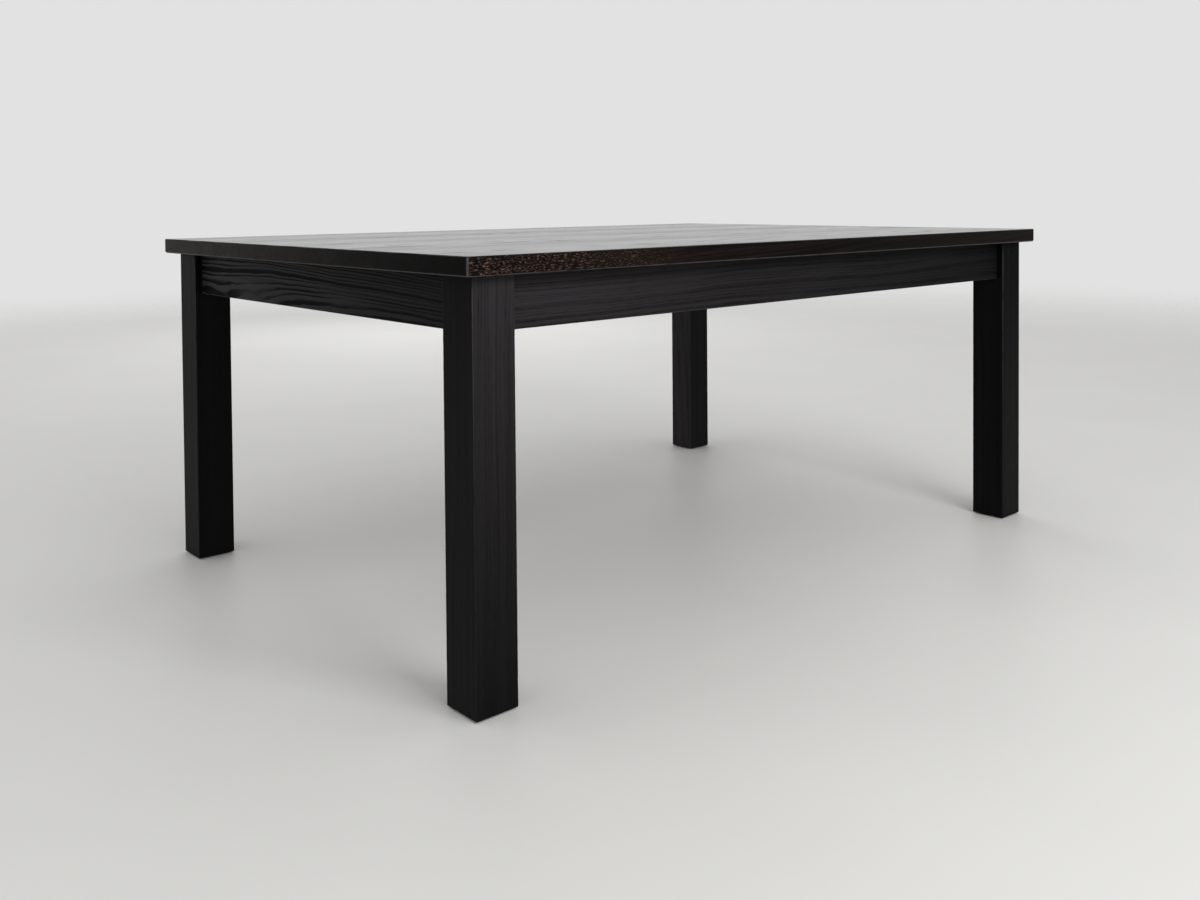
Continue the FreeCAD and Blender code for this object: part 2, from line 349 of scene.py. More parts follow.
@dataclass(frozen=True)
class OpenEdge:
    """A stretch of a board's edge where the pores lie open and brown wood shows through the stain.

    Attributes:
        face: The Y of the edge's face.
        start: The X where it is widest open.
        end: The X where it has closed.
        stained: The X where the stain is at its full strength again.
        thinned: How much of the brown shows through the thin stain at the start.
        depth: How far in from the face it reaches.
        thin_limits: The shades of the grain where the thin stain is brown, and where it is black.
        speck_limits: The levels of the grit where pores, brown wood and the painted glints lie.
        grit_cells: The grit's cells per metre along each of the log's axes.
        grit_relief: The depth of its relief in metres, and how much of that is felt.
        bare: The brown that shows.
        painted_glint: The brightest specks: painted glints of light.
    """

    face: float
    start: float = -0.86
    end: float = -0.34
    stained: float = 0.7
    thinned: float = 0.45
    depth: float = 0.0006
    thin_limits: Pair = (0.02, 0.26)
    speck_limits: Triple = (0.45, 0.58, 0.69)
    grit_cells: Triple = (160.0, 480.0, 480.0)
    grit_relief: Pair = (0.004, 0.9)
    bare: Triple = (0.028, 0.014, 0.010)
    painted_glint: Triple = (0.130, 0.088, 0.070)

    def laid_over(
        self, sheet: NodeSheet, shade: Socket, pore: Triple, under: tuple[Socket, Socket]
    ) -> tuple[Socket, Socket]:
        """Add the nodes that lay the open edge over a finish.

        Args:
            sheet: The material's sheet.
            shade: How dark the grain is.
            pore: The colour deep in the pores.
            under: The finish's colour and normal.

        Returns:
            The sockets of the colour and the normal with the edge over them.
        """
        colour, normal = under
        thinned = sheet.math("MULTIPLY", self.mask(sheet, self.stained), self.thinned)
        brown = sheet.ramp(shade, list(zip(self.thin_limits, (self.bare, pore))))
        colour = sheet.mix(thinned, colour, brown)
        opened = self.mask(sheet, self.end)
        grit = sheet.noise(self.grit_cells, detail=4.0)
        # The brightest specks are painted glints.
        specks = sheet.ramp(grit, list(zip(self.speck_limits, (pore, self.bare, self.painted_glint))))
        relief = sheet.math("MULTIPLY", opened, grit)
        normal = sheet.bump(relief, *self.grit_relief, normal)
        return sheet.mix(opened, colour, specks), normal

    def mask(self, sheet: NodeSheet, end: float) -> Socket:
        """Add the nodes of a mask on the edge's face that is full at the start.

        Args:
            sheet: The material's sheet.
            end: The X where it has faded out.

        Returns:
            The mask's socket, from 0 to 1.
        """
        parts = sheet.add("ShaderNodeSeparateXYZ", sheet.coordinates)
        along = sheet.step(parts.outputs["X"], end, self.start)
        at_face = sheet.step(parts.outputs["Y"], self.face + self.depth, self.face)
        return sheet.math("MULTIPLY", along, at_face)


@dataclass(frozen=True)
class BlackOak:
    """Open-pored oak, stained black.

    Attributes:
        gloss: The roughness of the dense wood and of the open pores.
        specular: How strongly the surface mirrors, for the shader's own input.
        relief: How much of the grain's relief is felt.
        grain_depth: That relief's depth in metres.
        band_depth: How deep the bands of early wood lie in it, where the pores' depth is 1.
        ring_spacing: Metres from one year's ring to the next.
        bend: How far the rings wander off true circles, in metres.
        bend_cells: That wandering's cells per metre along each of the log's axes.
        weather: The cells per year of the weather, and by how many years it shifts the rings.
        band_in: The part of a year in which its band of early wood starts.
        band_out: The part of a year in which it fades out, from its end back.
        patches: Where along the log the bands show.
        pore_flecks: The pores, long and thin.
        open_pores: How open they are in the late wood, and in the early wood.
        streak_cells: The cells per metre of the faint streaks, along each of the log's axes.
        darkening: How much the bands, the pores and the streaks darken the stain.
        lift: How much lighter the whole is made against them.
        rubbing_and_highlight: Where an arris is painted paler: partly rubbed-off stain, partly a
        painted highlight.
        summer: The stained colour of the dense late wood.
        spring: The stained colour of the porous early wood.
        pore: The colour deep in the pores.
        worn: The paler colour along the arrises: partly worn wood, partly a painted highlight.
    """

    gloss: Pair = (0.42, 0.66)
    specular: float = 0.05
    relief: float = 0.35
    grain_depth: float = 0.0004
    band_depth: float = 0.35
    ring_spacing: float = 0.0055
    bend: float = 0.022
    bend_cells: Triple = (1.6, 8.0, 8.0)
    weather: Pair = (0.55, 1.6)
    band_in: Pair = (0.0, 0.08)
    band_out: Pair = (0.60, 0.18)
    patches: Flecks = Flecks((2.2, 14.0, 14.0), (0.26, 0.56))
    pore_flecks: Flecks = Flecks((38.0, 820.0, 820.0), (0.52, 0.66))
    open_pores: Pair = (0.35, 1.0)
    streak_cells: Triple = (1.4, 75.0, 75.0)
    darkening: Triple = (0.62, 0.36, 0.6)
    lift: float = 0.22
    rubbing_and_highlight: Flecks = Flecks((30.0, 260.0, 260.0), (0.20, 0.50))
    summer: Triple = (0.0132, 0.0121, 0.0131)
    spring: Triple = (0.0036, 0.0033, 0.0033)
    pore: Triple = (0.0012, 0.0011, 0.0011)
    worn: Triple = (0.058, 0.055, 0.057)

    def material(
        self, name: str, cut: LogCut, middle: Vector, edge: OpenEdge | None = None
    ) -> bpy.types.Material:
        """Make the finish of one piece.

        Args:
            name: The material's name.
            cut: How the piece was sawn from its log.
            middle: The piece's middle.
            edge: Its open edge, if it has one.

        Returns:
            The material.
        """
        sheet = NodeSheet(name)
        cut.lay(sheet, middle)
        figure = sheet.math("MULTIPLY", cut.figure, cut.rise(sheet, cut.figure_rise))
        spring = sheet.math("MULTIPLY", self.spring_wood(sheet), figure)
        share = sheet.blend(spring, *self.open_pores)
        pores = sheet.math("MULTIPLY", self.pore_flecks.mask(sheet), share)
        shade = self.shade(sheet, spring, pores)
        stops = [(0.0, self.summer), (0.6, self.spring), (1.0, self.pore)]
        colour = sheet.ramp(shade, [(at, tuple(cut.tone * part for part in stain)) for at, stain in stops])
        # Multiplied along the log: on some pieces this is a painted fall-off of light.
        colour = sheet.vector("MULTIPLY", colour, cut.rise(sheet, cut.tone_and_painted_light_rise))
        # The arrises are painted paler: partly wear, partly a painted highlight where light catches them.
        wear = sheet.add("ShaderNodeAttribute", attribute_name=WEAR_AND_HIGHLIGHT).outputs["Fac"]
        rubbed_and_highlit = sheet.math("MULTIPLY", self.rubbing_and_highlight.mask(sheet), wear)
        colour = sheet.mix(rubbed_and_highlit, colour, (*self.worn, 1.0))
        roughness = sheet.blend(shade, *(part + cut.dulled for part in self.gloss))
        hollows = sheet.math("MULTIPLY_ADD", spring, self.band_depth, pores, clamp=True)
        normal = sheet.bump(sheet.math("SUBTRACT", 1.0, hollows), self.grain_depth, self.relief)
        if edge is not None:
            colour, normal = edge.laid_over(sheet, shade, self.pore, (colour, normal))
        return sheet.surface(
            Base_Color=colour, Roughness=roughness, Specular_IOR_Level=self.specular, Normal=normal
        )

    def shade(self, sheet: NodeSheet, spring: Socket, pores: Socket) -> Socket:
        """Add the nodes for how dark the stain is: the shares of the bands, the pores and the streaks.

        Args:
            sheet: The material's sheet.
            spring: The early wood's socket.
            pores: The pores' socket.

        Returns:
            The shade's socket, from 0 to 1.
        """
        by_bands, by_pores, by_streaks = self.darkening
        in_pores = sheet.math("MULTIPLY", pores, by_pores)
        dark = sheet.math("MULTIPLY_ADD", spring, by_bands, in_pores, clamp=True)
        lifted = sheet.math("SUBTRACT", dark, self.lift)
        streaks = sheet.noise(self.streak_cells, detail=3.0)
        return sheet.math("MULTIPLY_ADD", streaks, by_streaks, lifted, clamp=True)

    def spring_wood(self, sheet: NodeSheet) -> Socket:
        """Add the nodes for the rings: the distance from a bent pith, cut into years of uneven width.

        Args:
            sheet: The material's sheet.

        Returns:
            The early wood's socket: 1 in the porous band that starts each ring, with gaps along the log.
        """
        wander = sheet.noise(self.bend_cells, detail=4.0, output="Color")
        wander = sheet.vector("SUBTRACT", wander, (0.5, 0.5, 0.5))
        wander = sheet.vector("MULTIPLY", wander, (0.0, self.bend, self.bend))
        across = sheet.vector("MULTIPLY", sheet.place, (0.0, 1.0, 1.0))
        across = sheet.vector("ADD", across, wander)
        radius = sheet.vector("LENGTH", across)
        years = sheet.math("DIVIDE", radius, self.ring_spacing)
        cells, shift = self.weather
        weather = sheet.add("ShaderNodeTexNoise", noise_dimensions="1D", W=years, Scale=cells)
        year = sheet.math("FRACT", sheet.math("MULTIPLY_ADD", weather.outputs["Fac"], shift, years))
        band = sheet.math("MULTIPLY", sheet.step(year, *self.band_in), sheet.step(year, *self.band_out))
        return sheet.math("MULTIPLY", band, self.patches.mask(sheet))


@dataclass(frozen=True)
class FrameHardwood:
    """Pale planed hardwood of the pieces that no one sees.

    Attributes:
        pale: Its lighter colour.
        tan: Its darker lines.
        lines: Those lines.
        flecks: Short flecks between them.
        fleck_shade: How much the flecks darken it.
        gloss: The roughness where it is pale, and where it is dark.
    """

    pale: Triple = (0.52, 0.36, 0.22)
    tan: Triple = (0.36, 0.22, 0.12)
    lines: Flecks = Flecks((4.0, 160.0, 160.0), (0.32, 0.72), 4.0)
    flecks: Flecks = Flecks((90.0, 900.0, 900.0), (0.6, 0.72), 1.0)
    fleck_shade: float = 0.25
    gloss: Pair = (0.48, 0.62)

    def material(self, name: str, cut: LogCut, middle: Vector) -> bpy.types.Material:
        """Make the finish of one piece.

        Args:
            name: The material's name.
            cut: How the piece was sawn from its log.
            middle: The piece's middle.

        Returns:
            The material.
        """
        sheet = NodeSheet(name)
        cut.lay(sheet, middle)
        lines = self.lines.mask(sheet)
        flecks = self.flecks.mask(sheet)
        shade = sheet.math("MULTIPLY_ADD", flecks, self.fleck_shade, lines, clamp=True)
        colour = sheet.ramp(shade, [(0.0, self.pale), (1.0, self.tan)])
        roughness = sheet.blend(shade, *self.gloss)
        normal = sheet.bump(shade, depth=0.0002, strength=0.3)
        return sheet.surface(Base_Color=colour, Roughness=roughness, Normal=normal)


@dataclass(frozen=True)
class Mottled:
    """A plain finish that a noise mottles.

    Attributes:
        dark: Its darker colour.
        light: Its lighter colour.
        gloss: The roughness where the noise is 0, and where it is 1.
        cells: The noise's cells per metre along each axis.
        detail: How many finer layers it has.
        limits: The noise's levels where the dark and the light colour are reached.
        relief: The depth of the finish's relief in metres, and how much of that is felt.
        metallic: 1 for a metal.
    """

    dark: Triple
    light: Triple
    gloss: Pair
    cells: Triple
    detail: float = 3.0
    limits: Pair = (0.3, 0.7)
    relief: Pair | None = None
    metallic: float = 0.0

    def inputs(self, sheet: NodeSheet) -> dict[str, Any]:
        """Add the finish's nodes.

        Args:
            sheet: The material's sheet.

        Returns:
            What the shader's inputs are fed with.
        """
        noise = sheet.noise(self.cells, self.detail)
        fed = {
            "Base_Color": sheet.ramp(noise, list(zip(self.limits, (self.dark, self.light)))),
            "Roughness": sheet.blend(noise, *self.gloss),
            "Metallic": self.metallic,
        }
        if self.relief is not None:
            fed["Normal"] = sheet.bump(noise, *self.relief)
        return fed

    def material(self, name: str) -> bpy.types.Material:
        """The finish as a material of the given name."""
        sheet = NodeSheet(name)
        return sheet.surface(**self.inputs(sheet))


@dataclass(frozen=True)
class Outline:
    """A closed outline that is carried along a straight path.

    Attributes:
        points: Its corners in order, anticlockwise, as an array of n by 2.
        outward: The direction away from the piece at each of them, or none where it isn't set in.
        curved: Whether the side that starts at each point is part of an arc.
        outer: Whether that side is on the outside of the table.
        crown: How near each point is to the middle of its arc, from 0 at the ends to 1.
    """

    points: np.ndarray
    outward: np.ndarray
    curved: np.ndarray
    outer: np.ndarray
    crown: np.ndarray

    def carried(self, inset: np.ndarray, height: np.ndarray) -> np.ndarray:
        """Carry the outline along its path.

        Point (i, j) is outline point j, moved against its outward direction by inset (i, j), at height i.

        Args:
            inset: How far each point is set in, rows by points.
            height: How far along the path each row is.

        Returns:
            An array of rows by points by 3.
        """
        flat = self.points[None] - inset[..., None] * self.outward[None]
        rise = np.broadcast_to(height[:, None, None], (*inset.shape, 1))
        return np.concatenate([flat, rise], axis=2)


def arc_outline(half: Pair, radii: tuple[float, ...], outer: tuple[bool, ...] = (True,) * 4) -> Outline:
    """A rectangle with a quarter arc at each corner.

    Point k of a corner's arc is the arc's middle plus its radius, in a direction that turns through a right
    angle in ARC_STEPS equal steps. A corner with no radius is one point. The first corner is at +X +Y and
    the others follow anticlockwise.

    Args:
        half: Half the rectangle's size on each axis.
        radii: Each corner's radius.
        outer: Whether each side, from +X on anticlockwise, is set in with the outline.

    Returns:
        The outline.
    """
    signs = np.array([(1, 1), (-1, 1), (-1, -1), (1, -1)], float)
    sides = np.array([(1, 0), (0, 1), (-1, 0), (0, -1)], float)
    kept = np.array(outer)
    points, outward, curved, outside, crown = [], [], [], [], []
    for corner, radius in enumerate(radii):
        count = ARC_STEPS if radius > 0 else 0
        turn = np.linspace(0.0, 1.0, count + 1)
        angles = (corner + turn) * math.pi / 2
        direction = np.column_stack([np.cos(angles), np.sin(angles)])
        points.append(signs[corner] * (np.array(half) - radius) + radius * direction)
        if radius == 0:
            first, second = corner, (corner + 1) % 4
            direction = (kept[first] * sides[first] + kept[second] * sides[second])[None]
        outward.append(direction)
        curved.append(np.arange(count + 1) < count)
        outside.append(curved[-1] | kept[(corner + 1) % 4])
        crown.append(np.sin(math.pi * turn))
    return Outline(*(np.concatenate(part) for part in (points, outward, curved, outside, crown)))


def closed_mesh(name: str, points: np.ndarray, curved: np.ndarray, wear: np.ndarray) -> bpy.types.Object:
    """A closed piece from rows of points round it, with its two ends capped.

    Face (i, j) joins points j and j + 1 of rows i and i + 1, and point 0 follows the last one.

    Args:
        name: The piece's name.
        points: Rows by points by 3. Each row goes anticlockwise, seen from the last row's end.
        curved: Which faces are shaded smooth, rows less one by points.
        wear: How pale each point is painted, from 0 to 1, rows by points; part wear, part painted
            highlight.

    Returns:
        The piece, in the scene.
    """
    rows, count = points.shape[:2]
    index = np.arange(rows * count).reshape(rows, count)
    after = np.roll(index, -1, axis=1)
    walls = np.stack([index[:-1], after[:-1], after[1:], index[1:]], axis=-1).reshape(-1, 4)
    faces = walls.tolist() + [index[0, ::-1].tolist(), index[-1].tolist()]
    mesh = bpy.data.meshes.new(name)
    mesh.from_pydata(points.reshape(-1, 3).tolist(), [], faces)
    mesh.polygons.foreach_set("use_smooth", np.append(curved.ravel(), [False, False]))
    mesh.attributes.new(WEAR_AND_HIGHLIGHT, "FLOAT", "POINT").data.foreach_set("value", wear.ravel().astype(np.float32))
    mesh.update()
    piece = bpy.data.objects.new(name, mesh)
    bpy.context.scene.collection.objects.link(piece)
    return piece


def put_in_place(piece: bpy.types.Object, node: str, *materials: bpy.types.Material) -> None:
    """Dress a finished piece of oak and let it stand for its CAD node.

    Args:
        piece: The piece.
        node: The CAD node that it replaces.
        materials: Its finishes, in the order of its faces' indices.
    """
    for material in materials:
        piece.data.materials.append(material)
    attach(piece, BODY)
    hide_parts(node)
    log.info("%s: %d faces", piece.name, len(piece.data.polygons))


def middle_of(node: str) -> Vector:
    """The middle of a CAD node's box."""
    low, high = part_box(node)
    return (low + high) / 2


@dataclass
class TableTop:
    """The boards of the top, glued edge to edge.

    Attributes:
        face: The finish of their upper faces.
        edge: The finish of their edges and undersides.
        board_count: How many there are, front to back.
        edge_tones_with_painted_light: How light each board's edges are: partly the stain's tone, partly
        painted light that grows from the front board to the back one.
        edge_figure: How boldly the rings show on them.
        front_rise: What the front edge's tone is multiplied by for each metre along it.
        corner_radius: The top's corners in plan.
        upper_round: The radius of its upper arris.
        lower_bevel: The width of the bevel on its lower arris.
        upper_rub_and_highlight: How pale the upper arris is painted, partly wear and partly a painted
        highlight, where the bevel's painted reflection of the floor's light is 1.
    """

    face: BlackOak
    edge: BlackOak
    board_count: int = 9
    # Lighter from the front board to the back one: painted light on the top's edges.
    edge_tones_with_painted_light: tuple[float, ...] = (0.38, 0.22, 0.38, 0.60, 0.85, 1.10, 1.40, 1.70, 1.9)
    edge_figure: float = 0.3
    front_rise: float = 2.6
    corner_radius: float = 0.005
    upper_round: float = 0.002
    lower_bevel: float = 0.003
    upper_rub_and_highlight: float = 0.3

    def build(self) -> None:
        """Build and dress every board."""
        for number in range(1, self.board_count + 1):
            node = f"top_board_{number}"
            middle = middle_of(node)
            cut = self.cut(number)
            tone = self.edge_tones_with_painted_light[number - 1]
            edge_cut = replace(cut, tone=tone, figure=self.edge_figure, dulled=0.0)
            opened = None
            if number == 1:
                opened = OpenEdge(face=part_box(node)[0].y)
                edge_cut = replace(edge_cut, tone_and_painted_light_rise=self.front_rise)
            edge = self.edge.material(f"black_oak_edge_{number}", edge_cut, middle, opened)
            face = self.face.material(f"black_oak_board_{number}", cut, middle)
            piece = self.board(number)
            put_in_place(piece, node, edge, face)

    def board(self, number: int) -> bpy.types.Object:
        """One board: its plan carried up through the bevel, the edge and the rounded arris.

        At the angle a, an arris of radius r is set in by r(1 - cos a) and lies r(1 - sin a) below the top.

        Args:
            number: The board's number, front to back.

        Returns:
            The piece, with its upper face on material index 1.
        """
        front, back = number == 1, number == self.board_count
        low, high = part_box(f"top_board_{number}")
        middle, half = (low + high) / 2, (high - low) / 2
        at_back, at_front = back * self.corner_radius, front * self.corner_radius
        radii = (at_back, at_back, at_front, at_front)
        plan = arc_outline((half.x, half.y), radii, (True, back, True, front))
        bevel = self.lower_bevel * np.array([(1.0, 0.0), (0.5, 0.5), (0.0, 1.0)]) + (0.0, low.z)
        angle = np.linspace(0.0, math.pi / 2, ARC_STEPS + 1)
        arris = self.upper_round * np.column_stack([1 - np.cos(angle), np.sin(angle) - 1]) + (0.0, high.z)
        rows = np.vstack([bevel, arris])
        inset = np.repeat(rows[:, :1], len(plan.points), axis=1)
        points = plan.carried(inset, rows[:, 1])
        points[..., :2] += np.array(middle.xy)
        rounded = np.arange(len(rows) - 1) >= len(bevel)
        smooth = (rounded[:, None] & plan.outer[None]) | plan.curved[None]
        # Painted reflection of the floor's light on the bevel; weaker painted highlight, partly wear, on
        # the arrises.
        rubbed_and_highlit = np.append([0.0, 1.0, 0.0], self.upper_rub_and_highlight * np.sin(2 * angle))
        upright = np.isclose(rows[:, 0], 0.0)
        wear = np.maximum(rubbed_and_highlit[:, None], upright[:, None] * plan.crown[None])
        piece = closed_mesh(f"board_{number}", points, smooth, wear)
        piece.data.polygons[len(piece.data.polygons) - 1].material_index = 1
        return piece

    def cut(self, number: int) -> LogCut:
        """How one board was sawn: each from another place in its log, every second one turned over.

        Its pith, tone and dullness swing about their means with a sine or cosine of its number.

        Args:
            number: The board's number.

        Returns:
            Its cut.
        """
        turned = -1 if number % 2 else 1
        off_centre = 0.05 * math.sin(2.4 * number)
        depth = turned * (0.075 + 0.02 * math.cos(1.7 * number))
        lean = (0.012 * turned, 0.03)
        tone = 1.0 + 0.15 * math.sin(4.1 * number)
        dulled = 0.02 + 0.02 * math.sin(2.9 * number)
        return LogCut(GrainAxis.ALONG_X, (off_centre, depth), lean, 3.1 * number, tone, dulled=dulled)


@dataclass
class LegSet:
    """The four square legs.

    Attributes:
        oak: Their finish.
        side_tones_with_painted_light: How light each leg's sides are, in the order that they are built:
            partly the stain's tone, partly painted light and shade as each face was lit.
        front_back_tones_with_painted_light: The same for their faces towards the front and the back.
        front_back_painted_light_rises: What those faces' tone is multiplied by for each metre of height:
            on the front left leg, painted light that is stronger towards the top.
        figure: How boldly their rings show.
        arris_radius: The radius of their arrises.
        foot_bevel: The bevel round their feet.
        wear: How far the arrises are worn back at most.
        wave_rates: How fast each of the three waves of that wear turns, in radians per metre.
        wave_shifts: How far they shift from one leg to the next, and from one arris to the next.
        foot_highlight: How pale the arrises are painted at the foot, where 1 is as at the top: a painted
        highlight that fades downwards, with some wear.
        row_height: The height of one row of faces.
        flat_width: The flat on the inner corner, behind the aprons.
        flat_low: Where that flat starts, above the floor.
    """

    oak: BlackOak
    # The tones are partly painted light and shade: each leg's faces are made lighter or darker as they were
    # lit.
    side_tones_with_painted_light: tuple[float, ...] = (0.62, 0.44, 0.38, 2.2)
    front_back_tones_with_painted_light: tuple[float, ...] = (1.08, 0.34, 0.42, 1.0)
    front_back_painted_light_rises: tuple[float, ...] = (8.0, 1.0, 1.0, 1.0)
    figure: float = 0.25
    arris_radius: float = 0.002
    foot_bevel: float = 0.0015
    wear: float = 0.0004
    wave_rates: Triple = (31.0, 83.0, 197.0)
    wave_shifts: Pair = (1.7, 2.3)
    foot_highlight: float = 0.1
    row_height: float = 0.006
    flat_width: float = 0.024
    flat_low: float = 0.623

    def build(self) -> None:
        """Build and dress every leg."""
        for number, corner in enumerate(CORNERS):
            node = f"leg_{corner}"
            piece = self.leg(node, number)
            middle = middle_of(node)
            cut = self.cut(number)
            # The front and back faces get a lighter or darker copy of the finish: painted light and shade.
            front_back_cut = replace(cut, tone=self.front_back_tones_with_painted_light[number], tone_and_painted_light_rise=self.front_back_painted_light_rises[number])
            sides = self.oak.material(f"black_oak_{node}", cut, middle)
            front_back_finish = self.oak.material(f"black_oak_{node}_front_back_faces", front_back_cut, middle)
            put_in_place(piece, node, sides, front_back_finish)

    def leg(self, node: str, number: int) -> bpy.types.Object:
        """One leg: a square with rounded corners, carried up from the bevel of the foot.

        A point beyond the flat's plane, above the flat's foot, is brought back to it along the diagonal.
        The arrises are painted paler with the square of the height: a painted highlight with some wear.

        Args:
            node: The CAD node that it stands for.
            number: The leg's number, from which its wear is drawn.

        Returns:
            The piece, with its front and back faces on material index 1, which carry their own painted
            light.
        """
        low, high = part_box(node)
        middle, half = (low + high) / 2, (high - low) / 2
        plan = arc_outline((half.x, half.y), (self.arris_radius,) * 4)
        shaft = np.linspace(low.z + self.foot_bevel, high.z, round((high.z - low.z) / self.row_height))
        height = np.append(low.z, shaft)
        inset = self.worn(height, plan.crown, number)
        inset[0] += self.foot_bevel
        points = plan.carried(inset, height)
        inwards = -np.sign(np.array(middle.xy)) / math.sqrt(2.0)
        limit = (half.x + half.y) / math.sqrt(2.0) - self.flat_width / 2
        beyond = np.maximum(points[..., :2] @ inwards - limit, 0.0) * (height > self.flat_low)[:, None]
        points[..., :2] += np.array(middle.xy) - beyond[..., None] * inwards
        curved = np.broadcast_to(plan.curved, (len(height) - 1, len(plan.points)))
        rubbed_and_highlit = self.foot_highlight + (1.0 - self.foot_highlight) * (height / high.z) ** 2
        wear = rubbed_and_highlit[:, None] * plan.crown[None]
        wear[[0, -1]] = 0.0
        piece = closed_mesh(node.replace("leg", "square_leg"), points, curved, wear)
        corner = np.arange(len(plan.points)) // (ARC_STEPS + 1)
        front_back_faces = np.tile(~plan.curved & (corner % 2 == 0), len(height) - 1)
        indices = np.append(front_back_faces, [False, False]).astype(np.int32)
        piece.data.polygons.foreach_set("material_index", indices)
        return piece

    def worn(self, height: np.ndarray, crown: np.ndarray, number: int) -> np.ndarray:
        """How far each point is worn back: most at the middle of an arris, by the product of three waves.

        Args:
            height: The height of each row.
            crown: How near each point of a row is to the middle of its arris.
            number: The leg's number, which shifts the waves.

        Returns:
            An array of rows by points.
        """
        corner = np.arange(len(crown)) // (ARC_STEPS + 1)
        by_leg, by_arris = self.wave_shifts
        phase = by_leg * number + by_arris * corner[None]
        waves = 1.0
        for order, rate in enumerate(self.wave_rates, start=1):
            waves = waves * np.sin(rate * height[:, None] + order * phase)
        return self.wear * (0.5 + 0.5 * waves) * crown[None]

    def cut(self, number: int) -> LogCut:
        """How one leg was sawn: well away from the pith, so that its lines run straight.

        Args:
            number: The leg's number.

        Returns:
            Its cut.
        """
        pith = (0.16 + 0.03 * number, 0.11 - 0.02 * number)
        tone = self.side_tones_with_painted_light[number]
        return LogCut(GrainAxis.ALONG_Z, pith, (0.008, -0.006), 2.7 * number, tone, self.figure)


@dataclass
class ApronFrame:
    """The four aprons between the legs.

    Attributes:
        oak: The finish of the long ones.
        figured: The finish of the short ones.
        arris_radius: The radius of their lower arrises.
    """

    oak: BlackOak
    figured: BlackOak
    arris_radius: float = 0.0015

    def build(self) -> None:
        """Build and dress every apron."""
        for node, cut in self.cuts().items():
            piece = self.apron(node, cut.grain)
            finish = self.oak if cut.grain is GrainAxis.ALONG_X else self.figured
            material = finish.material(f"black_oak_{node}", cut, middle_of(node))
            put_in_place(piece, node, material)

    def apron(self, node: str, grain: GrainAxis) -> bpy.types.Object:
        """One apron: its section, with the two lower arrises rounded, carried along its grain.

        Args:
            node: The CAD node that it stands for.
            grain: The axis of its length.

        Returns:
            The piece.
        """
        low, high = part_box(node)
        middle, half = (low + high) / 2, (high - low) / 2
        order = [(grain.value + step) % 3 for step in (1, 2, 0)]
        upright = order.index(2)
        lower = [0.0, 0.0, self.arris_radius, self.arris_radius]
        if upright == 0:
            lower = [0.0, self.arris_radius, self.arris_radius, 0.0]
        section = arc_outline((half[order[0]], half[order[1]]), tuple(lower))
        height = np.array([-half[order[2]], half[order[2]]])
        carried = section.carried(np.zeros((2, len(section.points))), height)
        points = np.empty_like(carried)
        points[..., order] = carried
        points += np.array(middle)
        # The rounded arrises are painted paler: partly wear, partly a painted highlight.
        wear = np.repeat(section.crown[None], 2, axis=0)
        return closed_mesh(node.replace("apron", "oak_apron"), points, section.curved[None], wear)

    def cuts(self) -> dict[str, LogCut]:
        """How each apron was sawn.

        Returns:
            Each apron's cut by its node.
        """
        front = LogCut(GrainAxis.ALONG_X, (0.09, -0.10), (0.02, 0.03), 1.0, tone=1.25, figure=0.45)
        back = LogCut(GrainAxis.ALONG_X, (-0.08, -0.09), (0.03, 0.02), 5.0, tone=1.4, figure=0.5)
        left = LogCut(GrainAxis.ALONG_Y, (-0.06, 0.04), (0.05, 0.04), 9.0, tone=1.65, figure=2.2)
        right = LogCut(GrainAxis.ALONG_Y, (-0.06, -0.07), (0.04, 0.03), 13.0, tone=1.7, figure=0.8)
        # The front apron darkens towards +X and the left apron lightens towards +Y: painted light falling
        # off along them.
        return {
            "apron_front": replace(front, tone_and_painted_light_rise=0.5),
            "apron_back": back,
            "apron_left": replace(left, tone_and_painted_light_rise=2.0, figure_rise=6.0),
            "apron_right": right,
        }


@dataclass
class HiddenJoinery:
    """The CAD nodes that hold the table together, which keep their shape and get a finish.

    Attributes:
        hardwood: The finish of the blocks, bearers and tongues.
        steel: The finish of the hardware.
        felt: The finish of the pads.
        HARDWARE: The nodes of steel.
    """

    hardwood: FrameHardwood
    steel: Mottled
    felt: Mottled

    HARDWARE = ("hanger_bolts", "bolt_washers", "bolt_nuts", "bearer_screws", "top_clips", "clip_screws")

    def dress(self) -> None:
        """Give each node its finish."""
        for node in ("bearer_left", "bearer_right"):
            across = LogCut(GrainAxis.ALONG_Y, (0.1, 0.12), along=float(len(node)))
            self.finish(node, self.hardwood.material(f"hardwood_{node}", across, middle_of(node)))
        along = LogCut(GrainAxis.ALONG_X, (0.2, 0.1))
        self.finish("top_loose_tongues", self.hardwood.material("hardwood_tongues", along, Vector()))
        for corner in CORNERS:
            node = f"corner_block_{corner}"
            slope = -1.0 if corner in ("front_left", "back_right") else 1.0
            diagonal = LogCut(GrainAxis.ALONG_X, (0.1, 0.1), (slope, 0.0))
            self.finish(node, self.hardwood.material(f"hardwood_{node}", diagonal, middle_of(node)))
            self.finish(f"foot_pad_{corner}", self.felt.material(f"felt_{corner}"))
        for node in self.HARDWARE:
            self.finish(node, self.steel.material(f"zinc_{node}"))

    def finish(self, node: str, material: bpy.types.Material) -> None:
        """Assign a finish to a CAD node's material slots.

        Args:
            node: The node.
            material: Its finish.
        """
        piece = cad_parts[node]
        for slot in piece.material_slots:
            slot.material = material
        log.info("%s: CAD node with %s", node, material.name)


